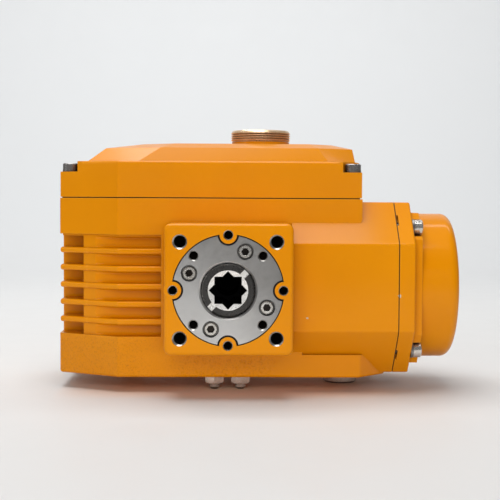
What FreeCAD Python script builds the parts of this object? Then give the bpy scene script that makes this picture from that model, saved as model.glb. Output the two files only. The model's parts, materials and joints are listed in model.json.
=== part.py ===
import FreeCAD, Part
import math
import os

import Sketcher
from FreeCAD import Placement, Rotation, Vector

# Quarter-turn electric valve actuator, in millimetres.
# Origin: on the output axis, at the face of the mounting flange.
# +X runs towards the terminal housing, +Y from the flange into the body, +Z up to the cover.

DOC = FreeCAD.newDocument("valve_actuator")

SIZES = {
    # output flange: a square pad that stands in front of the body
    "pad_left": -32.8, "pad_right": 33.5, "pad_bottom": -33.5, "pad_top": 34.1,
    "pad_corner": 3.5, "pad_edge": 2.0,
    "big_bolt_circle": 70.0, "big_bolt_hole": 3.4, "big_bolt_depth": 16.0, "big_rim": 1.2,
    "small_bolt_circle": 50.0, "small_bolt_hole": 2.5, "small_rim": 1.0,
    "tongue_circle": 56.6, "tongue_round": 4.45, "tongue_hole": 2.55,
    "plate_round": 28.2, "plate_thick": 8.0, "plate_gap": 0.6, "plate_bore": 14.1, "plate_notch": 5.45,
    "plate_screw_circle": 43.4, "plate_screw_turn": 66.3, "plate_screw_bore": 4.25,
    "seal_start": 0.8, "seal_thick": 3.0, "seal_gap": 0.04,
    # body casting
    "front": 29.0, "back": 115.0, "left": -92.1, "right": 71.75, "bottom": -49.1, "parting": 46.85,
    "bevel_x": -58.9, "bevel_y": 47.7, "lip_start": 33.0, "lip_bottom": 33.6, "lip_corner": 3.0,
    "main_right": 40.0, "main_edge": 1.5, "low_block_edge": 1.2, "low_block_corner": 3.0,
    "low_block_slope": 15.0,
    "low_block_top": -36.8, "low_block_right": 71.1, "low_block_end": 86.3,
    "fin_right": -35.6, "fin_left": -78.5, "fin_root": 38.0, "fin_zone": 27.3, "fin_gap": 6.3,
    "fin_pitch": 9.466, "fin_back": 62.0, "fin_count": 5, "fin_tip": 1.2, "fin_inset": 0.3,
    "gap_corner": 1.6, "gap_root": 2.5,
    # octagonal terminal housing, its axis along X
    "octagon_y": 64.0, "octagon_z": -1.25, "octagon_half": 46.5, "octagon_flat": 23.1, "octagon_lift": 1.4,
    "octagon_edge": 2.0, "octagon_start": 34.0, "octagon_end": 89.9,
    "terminal_bore": 37.0, "terminal_floor": 41.0,
    # hollows of the body
    "cavity_left": -74.0, "cavity_right": 36.0, "cavity_front": 36.0, "motor_front": 44.0,
    "cavity_back": 105.0, "cavity_floor": -43.0, "ledge": 40.0, "shelf_left": -84.0,
    "shelf_right": 62.0, "shelf_back": 109.0,
    # electrical cover
    "gasket": 0.5, "gasket_inset": 1.3, "cover_inset": 0.35,
    "cover_top": 66.8, "cover_roof": 63.4, "notch_floor": 61.1,
    "rim_z": 74.1, "crown_z": 76.7, "crown_roof": 72.9, "corner_left": -79.6, "corner_right": 59.0,
    "notch_left": -81.8, "notch_right": 61.2, "notch_front": 38.0, "notch_near": 36.1, "notch_far": 46.7,
    "foot_left": -77.3, "foot_right": 69.0, "foot_flat_left": -48.3, "foot_flat_right": 53.5,
    "foot_front": 30.7, "foot_side_left": 46.0, "foot_side_right": 42.0,
    "rim_left": -67.2, "rim_right": 68.0, "rim_flat_left": -36.5, "rim_flat_right": 48.0,
    "rim_front": 35.0, "rim_side_left": 51.0, "rim_side_right": 48.5,
    "top_left": -47.0, "top_right": 57.0, "top_flat_left": -29.0, "top_flat_right": 44.0,
    "top_front": 44.0, "top_side_left": 57.0, "top_side_right": 55.0,
    "sight_x": 18.2, "camshaft_x": 19.2, "sight_y": 70.0, "sight_hole": 13.6,
    "neck_round": 16.2, "neck_top": 78.6,
    "collar_round": 16.7, "collar_top": 85.0, "collar_thread": 0.75, "collar_bore": 11.5,
    # end cap of the terminal housing
    "cap_flange_end": 98.8, "cap_step_end": 103.3, "cap_end": 124.0, "cap_round": 40.2, "cap_edge": 5.0,
    "cap_hollow": 33.0, "cap_wall": 4.0, "cap_screw_head": 4.4,
    "cap_step_half": 40.8, "cap_step_flat": 25.5, "cap_bolt_y": 30.2, "cap_bolt_z": 33.0, "cap_pocket": 4.5,
    "pry_width": 1.0, "pry_depth": 5.0, "pry_length": 8.0,
    # output sleeve and what it carries
    "sleeve_start": 0.4, "sleeve_round": 13.8, "sleeve_step": 98.0, "sleeve_end": 110.0,
    "tail_round": 10.0, "tail_bush": 13.0, "star_flats": 14.0, "star_lead": 10.3, "star_lead_depth": 1.8,
    "star_end": 45.0, "end_slot": 3.3, "running": 0.04,
    "snug": 0.02, "bush_outer": 16.9, "bush_gap": 0.06, "key_width": 5.0, "key_top": 16.0, "key_bottom": 11.6,
    "cam_start": 40.0, "cam_width": 8.0, "cam_round": 22.0, "cam_core": 15.0,
    # worm drive
    "worm_x": -32.0, "worm_y": 62.0, "worm_module": 1.25, "wheel_teeth": 40, "wheel_width": 10.0,
    "worm_pitch_round": 7.0, "worm_turns": 7, "worm_core": 5.5, "worm_journal": 4.0,
    "bearing_outer": 9.0, "train_module": 0.8, "gear_teeth": 54, "pinion_teeth": 15,
    "motor_dx": -21.0, "train_z": 45.4, "train_width": 4.6,
    "bridge_thick": 4.0, "motor_round": 18.0, "motor_bottom": -22.0, "rotor_round": 11.8,
    "stator_bore": 12.3,
    # camshaft beside the sleeve, turned by a gear pair
    "camshaft_round": 3.0, "drive_teeth": 62, "cam_gear_teeth": 34, "camshaft_gear_y": 91.5,
    "camshaft_gear_width": 4.5, "drum_round": 14.0, "drum_start": 62.0, "drum_width": 16.0,
    "lobe_round": 11.4, "switch_cam_width": 4.0, "open_cam_y": 79.7, "close_cam_y": 85.4,
    # supports under the body
    "foot_z": -57.3, "stop_x": 7.1, "stop_y": 44.0, "stop_tip": -15.2, "stop_round": 3.0,
    "plug_x": 64.4, "plug_y": 71.0, "plug_round": 9.5, "plug_thread": 7.9,
    "plug_seal": 1.6, "nut_flats": 10.0, "nut_height": 5.0,
    "earth_x": -56.0, "earth_y": 97.0,
    # blank rating plate, let into the back
    "label_left": -62.0, "label_right": -2.0, "label_low": -20.0, "label_high": 20.0, "label_depth": 1.3,
    "label_thick": 0.6, "rivet_inset": 4.0,
}

ALONG_X = Rotation(Vector(0, 1, 0), 90)
ALONG_Y = Rotation(Vector(1, 0, 0), -90)
UPRIGHT = Rotation()
PIECES = []


class Size:
    """A length known both as a number and as an expression over the sheet."""

    def __init__(self, value, text):
        self.value = value
        self.text = text

    def __add__(self, other):
        other = size(other)
        return Size(self.value + other.value, f"({self.text} + {other.text})")

    def __sub__(self, other):
        other = size(other)
        return Size(self.value - other.value, f"({self.text} - {other.text})")

    def __mul__(self, other):
        other = size(other)
        return Size(self.value * other.value, f"({self.text} * {other.text})")

    def __truediv__(self, other):
        other = size(other)
        return Size(self.value / other.value, f"({self.text} / {other.text})")

    def __rsub__(self, other):
        return size(other) - self

    def __neg__(self):
        return size(0) - self

    __radd__ = __add__
    __rmul__ = __mul__


def size(thing):
    if isinstance(thing, Size):
        return thing
    return Size(float(thing), f"({float(thing)})")


class Sheet:
    """The driving dimensions, kept in a spreadsheet and read by name."""

    def __init__(self, sizes):
        self.cells = DOC.addObject("Spreadsheet::Sheet", "Dims")
        for row, (name, value) in enumerate(sizes.items(), start=1):
            self.cells.set(f"A{row}", name)
            self.cells.set(f"B{row}", str(value))
            self.cells.setAlias(f"B{row}", name)
        DOC.recompute()

    def __getattr__(self, name):
        return Size(float(self.cells.get(name)), f"Dims.{name}")


D = Sheet(SIZES)


# ---- ways of making pieces ----

def bind(thing, name, value):
    value = size(value)
    if "Dims" in value.text:
        thing.setExpression(name, value.text)
    else:
        setattr(thing, name, value.value)


def place(thing, at, turn=UPRIGHT):
    spot = [size(value) for value in at]
    thing.Placement = Placement(Vector(*[value.value for value in spot]), turn)
    for axis, value in zip("xyz", spot):
        if "Dims" in value.text:
            thing.setExpression(f".Placement.Base.{axis}", value.text)


def hold(sketch, kind, line, value):
    """Holds a line's first point at a distance from the sketch's origin."""
    if "Dims" not in value.text and value.value == 0:
        axis = -2 if kind == "DistanceX" else -1
        sketch.addConstraint(Sketcher.Constraint("PointOnObject", line, 1, axis))
        return
    number = sketch.addConstraint(Sketcher.Constraint(kind, -1, 1, line, 1, value.value))
    if "Dims" in value.text:
        sketch.setExpression(f"Constraints[{number}]", value.text)


def outline(sketch, points):
    """Draws a closed polygon whose corners are held to the sheet's sizes."""
    corners = [(size(x), size(y)) for x, y in points]
    spots = [Vector(x.value, y.value, 0) for x, y in corners]
    count = len(spots)
    for index in range(count):
        sketch.addGeometry(Part.LineSegment(spots[index], spots[(index + 1) % count]), False)
    for index, (x, y) in enumerate(corners):
        sketch.addConstraint(Sketcher.Constraint("Coincident", index, 2, (index + 1) % count, 1))
        hold(sketch, "DistanceX", index, x)
        hold(sketch, "DistanceY", index, y)


def prism(name, points, height, at=(0, 0, 0), turn=UPRIGHT):
    sketch = DOC.addObject("Sketcher::SketchObject", f"{name}_outline")
    outline(sketch, points)
    place(sketch, at, turn)
    solid = DOC.addObject("Part::Extrusion", name)
    solid.Base = sketch
    solid.DirMode = "Normal"
    solid.Solid = True
    bind(solid, "LengthFwd", height)
    return solid


def box(name, low, high):
    solid = DOC.addObject("Part::Box", name)
    low = [size(value) for value in low]
    for side, start, end in zip(("Length", "Width", "Height"), low, high):
        bind(solid, side, end - start)
    place(solid, low)
    return solid


def slanted_box(name, sides, middle, turn):
    """A box of the given sides about its middle point, turned about that point."""
    solid = DOC.addObject("Part::Box", name)
    for side, length in zip(("Length", "Width", "Height"), sides):
        bind(solid, side, length)
    shift = turn.multVec(Vector(*[size(side).value / 2 for side in sides]))
    place(solid, [spot - offset for spot, offset in zip(middle, shift)], turn)
    return solid


def rod(name, radius, length, at, turn=UPRIGHT):
    solid = DOC.addObject("Part::Cylinder", name)
    bind(solid, "Radius", radius)
    bind(solid, "Height", length)
    place(solid, at, turn)
    return solid


def cone(name, radius, end_radius, length, at, turn=UPRIGHT):
    solid = DOC.addObject("Part::Cone", name)
    bind(solid, "Radius1", radius)
    bind(solid, "Radius2", end_radius)
    bind(solid, "Height", length)
    place(solid, at, turn)
    return solid


def hexagon(name, across_flats, length, at, turn=UPRIGHT):
    solid = DOC.addObject("Part::Prism", name)
    solid.Polygon = 6
    bind(solid, "Circumradius", across_flats / math.sqrt(3))
    bind(solid, "Height", length)
    place(solid, at, turn)
    return solid


def fuse(name, solids):
    whole = DOC.addObject("Part::MultiFuse", name)
    whole.Shapes = solids
    return whole


def cut(name, solid, tools):
    whole = DOC.addObject("Part::Cut", name)
    whole.Base = solid
    whole.Tool = tools[0] if len(tools) == 1 else fuse(f"{name}_tools", tools)
    return whole


def common(name, solid, limit):
    both = DOC.addObject("Part::Common", name)
    both.Base = solid
    both.Tool = limit
    return both


def rounded(name, solid, radius, wanted):
    """Rounds the edges of a solid for which wanted(edge) is true."""
    DOC.recompute()
    whole = DOC.addObject("Part::Fillet", name)
    whole.Base = solid
    numbers = [index for index, edge in enumerate(solid.Shape.Edges, start=1) if wanted(edge)]
    whole.Edges = [(number, size(radius).value, size(radius).value) for number in numbers]
    return whole


def turned(name, points, at=(0, 0, 0), turn=UPRIGHT):
    """A turned piece: points are (radius, height), and the axis is the body's own Z."""
    body = DOC.addObject("PartDesign::Body", name)
    sketch = body.newObject("Sketcher::SketchObject", f"{name}_profile")
    plane = [each for each in body.Origin.OriginFeatures if each.Role == "XZ_Plane"][0]
    sketch.AttachmentSupport = (plane, [""])
    sketch.MapMode = "FlatFace"
    outline(sketch, points)
    spin = body.newObject("PartDesign::Revolution", f"{name}_turn")
    spin.Profile = sketch
    spin.ReferenceAxis = (sketch, ["V_Axis"])
    spin.Angle = 360.0
    body.Tip = spin
    place(body, at, turn)
    return body


def ring(name, inner, outer, length, at=(0, 0, 0), turn=UPRIGHT):
    points = [(inner, 0), (outer, 0), (outer, length), (inner, length)]
    return turned(name, points, at, turn)


def copies(name, solid, places):
    """One node of several equal pieces: places are (position, rotation)."""
    links = []
    for index, (at, turn) in enumerate(places):
        link = DOC.addObject("App::Link", f"{name}_{index}")
        link.LinkedObject = solid
        place(link, at, turn)
        links.append(link)
    whole = DOC.addObject("Part::Compound", name)
    whole.Links = links
    return whole


def computed(name, shape, at=(0, 0, 0), turn=UPRIGHT):
    solid = DOC.addObject("Part::Feature", name)
    solid.Shape = shape
    place(solid, at, turn)
    return solid


def piece(label, solid):
    solid.Label = label
    PIECES.append(solid)


def around(radius, start, count):
    """Points on a circle about the output axis, as (x, z) sizes."""
    spots = []
    for index in range(count):
        angle = math.radians(start + index * 360.0 / count)
        spots.append((radius * math.cos(angle), radius * math.sin(angle)))
    return spots


def octagon(half, flat):
    """An eight-sided outline about the terminal axis; its side flats sit a little above the middle."""
    low = D.octagon_lift - flat
    high = D.octagon_lift + flat
    corners = [(flat, half), (half, high), (half, low), (flat, -half),
               (-flat, -half), (-half, low), (-half, high), (-flat, half)]
    return [(-z, y) for y, z in corners]


def involute(angle):
    return math.tan(angle) - angle


def gear_wire(teeth, module, backlash, turn, height, addendum=1.0):
    """A spur gear's outline at a height, with a tooth centred on the angle turn (degrees)."""
    pitch = teeth * module / 2
    base = pitch * math.cos(math.radians(20))
    tip = pitch + module * addendum
    root = pitch - 1.25 * module
    half = (math.pi * module / 2 - backlash) / (2 * pitch) + involute(math.radians(20))
    flank = []
    for step in range(4):
        radius = max(root, base) + (tip - max(root, base)) * step / 3
        flank.append((radius, half - involute(math.acos(min(1.0, base / radius)))))
    if root < base:
        flank.insert(0, (root, flank[0][1]))
    tooth = [(radius, -angle) for radius, angle in flank] + [(r, a) for r, a in reversed(flank)]
    points = []
    for index in range(teeth):
        centre = math.radians(turn) + index * 2 * math.pi / teeth
        for radius, angle in tooth:
            bearing = centre + angle
            points.append(Vector(radius * math.cos(bearing), radius * math.sin(bearing), height))
    return Part.makePolygon(points + points[:1])


def gear_solid(teeth, module, width, turn, bore, backlash=0.2, addendum=1.0):
    wire = gear_wire(teeth, module, backlash, turn, 0, addendum)
    solid = Part.Face(wire).extrude(Vector(0, 0, width))
    return solid.cut(Part.makeCylinder(bore, width))


def keyway(length, top):
    """Room for the sleeve's key in a hub; local -Y is up once the piece lies along the axis."""
    half = D.key_width.value / 2 + 0.01
    return Part.makeBox(2 * half, top, length, Vector(-half, -top, 0))


# ---- body casting ----

def flange_pad():
    pad = box("pad_block", (D.pad_left, 0, D.pad_bottom), (D.pad_right, D.front + 2, D.pad_top))
    corners = rounded("pad_corners", pad, D.pad_corner, along_y)
    return rounded("pad_edges", corners, D.pad_edge, at_front)


def along_y(edge):
    low, high = edge.BoundBox.YMin, edge.BoundBox.YMax
    return high - low > 10 and edge.BoundBox.XLength < 0.1 and edge.BoundBox.ZLength < 0.1


def at_front(edge):
    return edge.BoundBox.YMax < 0.01


def body_blocks():
    main = prism("main_block", [(D.bevel_x, D.front), (D.main_right, D.front), (D.main_right, D.back),
                                (D.left, D.back), (D.left, D.bevel_y)],
                 D.parting - D.bottom, (0, 0, D.bottom))
    main = rounded("main_rounds", main, D.main_edge, main_edge)
    lip = box("lip_block", (D.lip_start, D.front, D.lip_bottom), (D.right, D.back, D.parting))
    lip = rounded("lip_rounds", lip, D.lip_corner, lip_edge)
    low = prism("low_block", [(D.lip_start, D.front), (D.low_block_right, D.front),
                              (D.low_block_end, D.front + D.low_block_slope), (D.low_block_end, D.back - 8),
                              (D.lip_start, D.back - 8)],
                D.low_block_top - D.bottom, (0, 0, D.bottom))
    low = rounded("low_corners", low, D.low_block_corner, low_corner)
    low = rounded("low_rounds", low, D.low_block_edge, lambda edge: edge.BoundBox.ZMax < D.bottom.value + 0.1)
    eight = prism("octagon_block", octagon(D.octagon_half, D.octagon_flat),
                  D.octagon_end - D.octagon_start, (D.octagon_start, D.octagon_y, D.octagon_z), ALONG_X)
    eight = rounded("octagon_rounds", eight, D.octagon_edge, along_x)
    return [main, lip, low, eight]


def main_edge(edge):
    bounds = edge.BoundBox
    upright = bounds.ZLength > 50 and bounds.XMin < 30
    return upright or (bounds.ZMax < D.bottom.value + 0.1 and bounds.XMin < 30)


def lip_edge(edge):
    bounds = edge.BoundBox
    at_corner = bounds.XMin > D.right.value - 0.1 and bounds.ZMax < D.lip_bottom.value + 0.1
    return bounds.YLength > 20 and at_corner


def low_corner(edge):
    bounds = edge.BoundBox
    at_right = bounds.XMin > D.low_block_right.value - 0.1
    return bounds.ZLength > 5 and at_right and bounds.YMax < D.back.value - 20


def along_x(edge):
    return edge.BoundBox.XLength > 5 and edge.BoundBox.YLength < 0.1 and edge.BoundBox.ZLength < 0.1


def body_hollows():
    lower = prism("lower_cavity", [(D.cavity_left, D.motor_front), (-35, D.motor_front),
                                   (-35, D.cavity_front), (D.cavity_right, D.cavity_front),
                                   (D.cavity_right, D.cavity_back), (D.cavity_left, D.cavity_back)],
                  D.ledge - D.cavity_floor + 1, (0, 0, D.cavity_floor))
    upper = prism("upper_cavity", shelf_outline(), D.parting - D.ledge + 1, (0, 0, D.ledge))
    terminals = rod("terminal_hollow", D.terminal_bore, D.octagon_end - D.terminal_floor + 1,
                    (D.terminal_floor, D.octagon_y, D.octagon_z), ALONG_X)
    relief = box("gear_relief", (D.cavity_right - 1, D.camshaft_gear_y - 1, 27),
                 (D.cavity_right + 2.4, D.camshaft_gear_y + D.camshaft_gear_width + 1, D.ledge + 1))
    wires = rod("wire_hole", 6, 10, (34, 48, 10), ALONG_X)
    return [lower, upper, terminals, relief, wires]


def shelf_outline():
    return [(D.shelf_left, 50), (-59.2, D.cavity_front), (D.shelf_right, D.cavity_front),
            (D.shelf_right, D.shelf_back), (D.shelf_left, D.shelf_back)]


def fin_level(index):
    """The underside of a gap between fins; the fin above it starts a gap's height further up."""
    return D.fin_pitch * index - D.fin_zone


def gap_edge(edge):
    """The long inner edges of a gap, at its right end and along its root."""
    bounds = edge.BoundBox
    right_end = bounds.YLength > 5 and bounds.XMin > D.fin_right.value - 0.1
    root = bounds.XLength > 5 and abs(bounds.Center.y - D.fin_root.value) < 0.1
    return bounds.ZLength < 0.01 and (right_end or root)


def fin_gaps():
    gaps = []
    for index in range(int(D.fin_count.value) + 1):
        gap = prism(f"fin_gap_{index}", [
            (D.left - 2, D.front - 4), (D.fin_right, D.front - 4), (D.fin_right, D.fin_root),
            (D.fin_left + D.gap_root, D.fin_root), (D.fin_left, D.fin_root + D.gap_root),
            (D.fin_left, D.fin_back), (D.left - 2, D.fin_back)], D.fin_gap, (0, 0, fin_level(index)))
        gaps.append(rounded(f"fin_gap_rounds_{index}", gap, D.gap_corner, gap_edge))
    trim = D.fin_tip + D.fin_inset
    gaps.append(prism("fin_trim", [
        (D.left - 2, D.front - 4), (D.fin_right, D.front - 4), (D.fin_right, D.front + trim),
        (D.bevel_x + trim / 2, D.front + trim), (D.left + trim, D.bevel_y + trim / 2),
        (D.left + trim, D.fin_back), (D.left - 2, D.fin_back)], D.fin_zone * 2, (0, 0, -D.fin_zone)))
    return gaps


def fin_edge(edge):
    """The upper and lower edges of a fin along its outer side."""
    bounds = edge.BoundBox
    inner = bounds.YMin > D.bevel_y.value and bounds.XMax > D.left.value + 5
    inner = inner or (bounds.XMin > D.fin_left.value and bounds.YMax > D.front.value + 5)
    return bounds.ZLength < 0.01 and not inner


def fins():
    blades = []
    inset = D.fin_inset
    for index in range(int(D.fin_count.value)):
        blade = prism(f"fin_{index}", [
            (D.fin_right + 1, D.front + inset), (D.bevel_x, D.front + inset),
            (D.left + inset, D.bevel_y + inset / 2), (D.left + inset, D.fin_back + 1),
            (D.fin_left + 2, D.fin_back + 1), (D.fin_left + 2, D.fin_root + 2),
            (D.fin_right + 1, D.fin_root + 2)],
            D.fin_pitch - D.fin_gap, (0, 0, fin_level(index) + D.fin_gap))
        blades.append(rounded(f"fin_rounds_{index}", blade, D.fin_tip, fin_edge))
    return blades


def flange_holes():
    holes = [rod("plate_recess", D.plate_round + D.plate_gap, D.plate_thick + 1, (0, -1, 0), ALONG_Y),
             rod("bush_bore", D.bush_outer + D.bush_gap, D.cavity_front + 1,
                 (0, D.plate_thick - 0.5, 0), ALONG_Y)]
    for index, (x, z) in enumerate(around(D.big_bolt_circle / 2, 45, 4)):
        holes.append(rod(f"big_hole_{index}", D.big_bolt_hole, D.big_bolt_depth + 1, (x, -1, z), ALONG_Y))
        holes.append(cone(f"big_rim_{index}", D.big_bolt_hole + D.big_rim, D.big_bolt_hole, D.big_rim,
                          (x, 0.5 - D.big_rim, z), ALONG_Y))
    return holes


def tongues():
    """Four rounded lugs that fill the retainer plate's notches, each with a tapped hole."""
    lugs = []
    holes = []
    for index, (x, z) in enumerate(around(D.tongue_circle / 2, 0, 4)):
        lugs.append(rod(f"tongue_{index}", D.tongue_round, D.plate_thick + 0.6, (x, 0, z), ALONG_Y))
        holes.append(rod(f"tongue_hole_{index}", D.tongue_hole, 15, (x, -1, z), ALONG_Y))
    return lugs, holes


def support_holes():
    holes = [rod(f"stop_hole_{side}", D.stop_round + 0.03, 12, (side * D.stop_x, D.stop_y, D.bottom - 1))
             for side in (-1, 1)]
    holes.append(rod("plug_hole", D.plug_thread + 0.05, 20, (D.plug_x, D.plug_y, D.bottom - 1)))
    holes.append(rod("earth_hole", 3.45, 6, (D.earth_x, D.earth_y, D.bottom - 1)))
    holes.append(rod("worm_seat", D.bearing_outer + 0.05, 5, (D.worm_x, D.worm_y, D.cavity_floor - 4)))
    holes.append(rod("tail_seat", D.tail_bush + D.bush_gap, 8, (0, D.cavity_back - 2, 0), ALONG_Y))
    for index, (x, y) in enumerate(cover_screw_spots()):
        holes.append(rod(f"cover_thread_{index}", 2.55, 16, (x, y, D.parting - 15)))
    for index, (y, z) in enumerate(cap_screw_spots()):
        holes.append(rod(f"cap_thread_{index}", 2.55, 16, (D.octagon_end - 15, y, z), ALONG_X))
    for index, (x, y) in enumerate(bridge_screw_spots()):
        holes.append(rod(f"bridge_thread_{index}", 2.05, 9, (x, y, D.ledge - 8)))
    return holes


def cover_screw_spots():
    return [(-86.6, 51.0), (67.0, 34.2), (67.0, 109.8), (-86.6, 109.8)]


def cap_screw_spots():
    return [(D.octagon_y + side * D.cap_bolt_y, D.octagon_z + level * D.cap_bolt_z)
            for side in (-1, 1) for level in (-1, 1)]


def bridge_screw_spots():
    return [(-79.0, 60.0), (-79.0, 100.0), (-48.0, 40.5)]


def gear_housing():
    lugs, lug_holes = tongues()
    shell = fuse("casting", body_blocks() + [flange_pad()])
    opened = cut("casting_opened", shell, flange_holes() + body_hollows() + fin_gaps())
    joined = fuse("casting_tongues", [opened] + lugs + fins())
    piece("gear_housing", cut("gear_housing", joined, lug_holes + support_holes() + label_seat()))


# ---- rating plate on the back ----

def rivet_spots():
    inset = D.rivet_inset
    return [(x, z) for x in (D.label_left + inset, D.label_right - inset)
            for z in (D.label_low + inset, D.label_high - inset)]


def label_seat():
    seat = box("label_seat", (D.label_left - 0.3, D.back - D.label_depth, D.label_low - 0.3),
               (D.label_right + 0.3, D.back + 2, D.label_high + 0.3))
    holes = [rod(f"rivet_hole_{index}", 1.25, 6, (x, D.back - D.label_depth - 5, z), ALONG_Y)
             for index, (x, z) in enumerate(rivet_spots())]
    return [seat] + holes


def rating_plate():
    face = D.back - D.label_depth + 0.02
    sheet = box("label_sheet", (D.label_left, face, D.label_low),
                (D.label_right, face + D.label_thick, D.label_high))
    sheet = rounded("label_corners", sheet, 2.0, lambda edge: edge.BoundBox.YLength > 0.5)
    holes = [rod(f"label_hole_{index}", 1.25, 3, (x, face - 1, z), ALONG_Y)
             for index, (x, z) in enumerate(rivet_spots())]
    piece("rating_plate", cut("rating_plate", sheet, holes))
    form = turned("rivet_form", [(0, -4), (1.2, -4), (1.2, 0), (2.1, 0), (1.9, 0.3), (1.2, 0.55), (0, 0.6)])
    places = [((x, face + D.label_thick + 0.02, z), ALONG_Y) for x, z in rivet_spots()]
    piece("plate_rivets", copies("plate_rivets", form, places))


# ---- electrical cover ----

def cover_outline(inset=0.0):
    return [(D.bevel_x, D.front + inset), (D.right - inset, D.front + inset),
            (D.right - inset, D.back - inset), (D.left + inset, D.back - inset),
            (D.left + inset, D.bevel_y)]


def crown(name, low, high):
    """A frustum between two eight-sided outlines."""
    sections = []
    for index, (points, level) in enumerate((low, high)):
        sketch = DOC.addObject("Sketcher::SketchObject", f"{name}_section_{index}")
        outline(sketch, points)
        place(sketch, (0, 0, level))
        sections.append(sketch)
    solid = DOC.addObject("Part::Loft", name)
    solid.Sections = sections
    solid.Solid = True
    solid.Ruled = True
    return solid


def crown_outline(level):
    """Eight corners of the crown at its foot, rim or top, the same to the front and to the back."""
    left, right, flat_left, flat_right, front, side_left, side_right = [
        getattr(D, f"{level}_{name}")
        for name in ("left", "right", "flat_left", "flat_right", "front", "side_left", "side_right")]
    across = D.front + D.back
    return [(flat_left, front), (flat_right, front), (right, side_right), (right, across - side_right),
            (flat_right, across - front), (flat_left, across - front), (left, across - side_left),
            (left, side_left)]


def corner_blocks(base):
    """Solid metal under the cover screws: the left side and both right corners of the cover."""
    left = D.left + D.cover_inset + 0.1
    right = D.right - D.cover_inset - 0.1
    front = D.front + D.cover_inset + 0.1
    back = D.back - D.cover_inset - 0.1
    bevel = [(D.corner_left, 40.9), (D.corner_left, 59), (left, 59), (left, D.bevel_y + 0.2)]
    top = D.cover_top - 0.2
    return [
        prism("corner_block_0", bevel, top - base, (0, 0, base)),
        box("corner_block_1", (D.corner_right, front, base), (right, 48.5, top)),
        box("corner_block_2", (D.corner_right, 95.5, base), (right, back, top)),
        box("corner_block_3", (left, 58.5, base), (D.corner_left, back, top)),
    ]


def screw_notches():
    """A ledge along the cover's left side and a pocket at each right corner, where the screw heads sit."""
    floor = D.notch_floor
    height = D.crown_z - floor
    right = D.right + 2
    across = D.front + D.back
    return [
        box("notch_left", (D.left - 2, D.notch_front, floor), (D.notch_left, D.back + 2, D.crown_z)),
        prism("notch_near", [(D.notch_right, D.front - 2), (right, D.front - 2), (right, D.notch_far),
                             (D.notch_right, D.notch_near)], height, (0, 0, floor)),
        prism("notch_far", [(D.notch_right, D.back + 2), (D.notch_right, across - D.notch_near),
                            (right, across - D.notch_far), (right, D.back + 2)], height, (0, 0, floor)),
    ]


def electrical_cover():
    base = D.parting + D.gasket
    wall = prism("cover_wall", cover_outline(D.cover_inset), D.cover_top - base, (0, 0, base))
    wall = rounded("cover_wall_top", wall, 1.5, lambda edge: edge.BoundBox.ZMin > D.cover_top.value - 0.1)
    hollow = prism("cover_hollow", shelf_outline(), D.cover_roof - base + 1, (0, 0, base - 1))
    shell = cut("cover_shell", wall, [hollow])
    rim = crown_outline("rim")
    lower = crown("crown_lower", (crown_outline("foot"), D.cover_top - 0.5), (rim, D.rim_z))
    upper = crown("crown_upper", (rim, D.rim_z), (crown_outline("top"), D.crown_z))
    neck = rod("sight_neck", D.neck_round, D.neck_top - D.crown_z + 1, (D.sight_x, D.sight_y, D.crown_z - 1))
    neck_foot = cone("neck_foot", D.neck_round + 1.2, D.neck_round, 1.0,
                     (D.sight_x, D.sight_y, D.crown_z - 0.1))
    whole = fuse("cover_whole", [shell, lower, upper, neck, neck_foot] + corner_blocks(base))
    tools = screw_notches() + [
        box("crown_hollow", (-54, 47, D.cover_roof - 2), (54, 97, D.crown_roof)),
        rod("sight_bore", D.sight_hole, 12, (D.sight_x, D.sight_y, D.crown_roof - 3)),
    ]
    for index, (x, y) in enumerate(cover_screw_spots()):
        tools.append(rod(f"cover_hole_{index}", 2.8, 20, (x, y, base - 1)))
    piece("electrical_cover", cut("electrical_cover", whole, tools))


def cover_gasket():
    sheet = prism("gasket_sheet", cover_outline(D.gasket_inset), D.gasket, (0, 0, D.parting))
    tools = [prism("gasket_window", shelf_outline(), D.gasket + 2, (0, 0, D.parting - 1))]
    for index, (x, y) in enumerate(cover_screw_spots()):
        tools.append(rod(f"gasket_hole_{index}", 2.8, 3, (x, y, D.parting - 1)))
    piece("cover_gasket", cut("cover_gasket", sheet, tools))


def sight_window():
    pitch = 1.25
    thread = []
    for index in range(4):
        level = D.neck_top + 0.5 + pitch * index
        thread += [(D.collar_round - D.collar_thread, level), (D.collar_round, level + pitch * 0.42),
                   (D.collar_round, level + pitch * 0.58)]
    points = [(D.collar_bore, D.crown_roof - 0.8), (D.sight_hole - 0.05, D.crown_roof - 0.8),
              (D.sight_hole - 0.05, D.neck_top + 0.03), (D.collar_round - D.collar_thread, D.neck_top + 0.03)]
    points += thread
    points += [(D.collar_round - 0.6, D.collar_top - 0.5), (D.collar_round - 1.1, D.collar_top),
               (D.collar_bore + 1.6, D.collar_top), (D.collar_bore + 1.6, D.collar_top - 3),
               (D.collar_bore, D.collar_top - 3)]
    piece("sight_collar", turned("sight_collar", points, (D.sight_x, D.sight_y, 0)))
    lens = [(0, D.collar_top - 2.98), (D.collar_bore + 1.55, D.collar_top - 2.98),
            (D.collar_bore + 1.55, D.collar_top - 1.1), (D.collar_bore + 1.1, D.collar_top - 0.7),
            (0, D.collar_top - 0.7)]
    piece("sight_glass", turned("sight_glass", lens, (D.sight_x, D.sight_y, 0)))


# ---- end cap ----

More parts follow.
